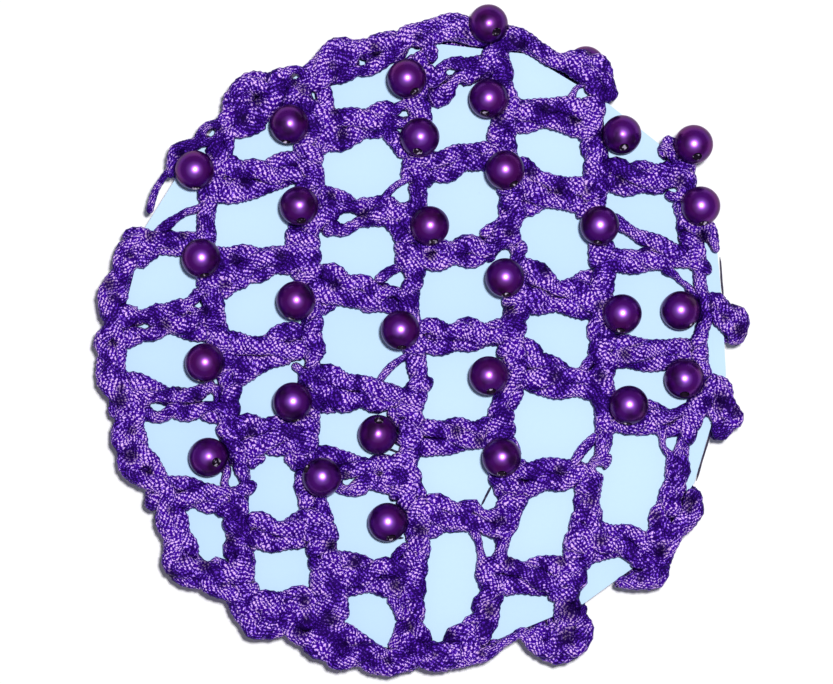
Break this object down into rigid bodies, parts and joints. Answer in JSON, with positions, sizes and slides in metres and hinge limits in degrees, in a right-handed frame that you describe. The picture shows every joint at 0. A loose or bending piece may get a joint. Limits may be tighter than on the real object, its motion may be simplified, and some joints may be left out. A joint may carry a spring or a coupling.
{
  "type": "crochet hair snood on display card",
  "caption": "Round open-mesh crochet hair snood with pearl beads on its mesh, a shell edging and an open mouth at the back, stretched over a flat round card.",
  "frame": {"origin": "middle of the whole object's box, on the surface it lies on", "axes": "+Z out of the mesh side, away from the surface; +Y towards the snood's top edge as displayed; +X to the right seen from the mesh side"},
  "size_m": [0.1004, 0.1032, 0.0141],
  "materials": {
    "yarn": "shiny violet ribbon yarn",
    "pearl": "metallic plum pearl",
    "board": "smooth pale blue card"
  },
  "bodies": {
    "root": {"card": "board", "edging": "yarn", "mesh_row_1": "yarn", "mesh_row_2": "yarn", "mesh_row_3": "yarn", "mesh_row_4": "yarn", "mesh_row_5": "yarn", "mesh_row_6": "yarn", "bead_01": "pearl", "bead_02": "pearl", "bead_03": "pearl", "bead_04": "pearl", "bead_05": "pearl", "bead_06": "pearl", "bead_07": "pearl", "bead_08": "pearl", "bead_09": "pearl", "bead_10": "pearl", "bead_11": "pearl", "bead_12": "pearl", "bead_13": "pearl", "bead_14": "pearl", "bead_15": "pearl", "bead_16": "pearl", "bead_17": "pearl", "bead_18": "pearl", "bead_19": "pearl", "bead_20": "pearl", "bead_21": "pearl", "bead_22": "pearl", "bead_23": "pearl", "bead_24": "pearl", "bead_25": "pearl", "bead_26": "pearl", "bead_27": "pearl", "bead_28": "pearl", "bead_29": "pearl", "bead_30": "pearl"}
  },
  "joints": []
}
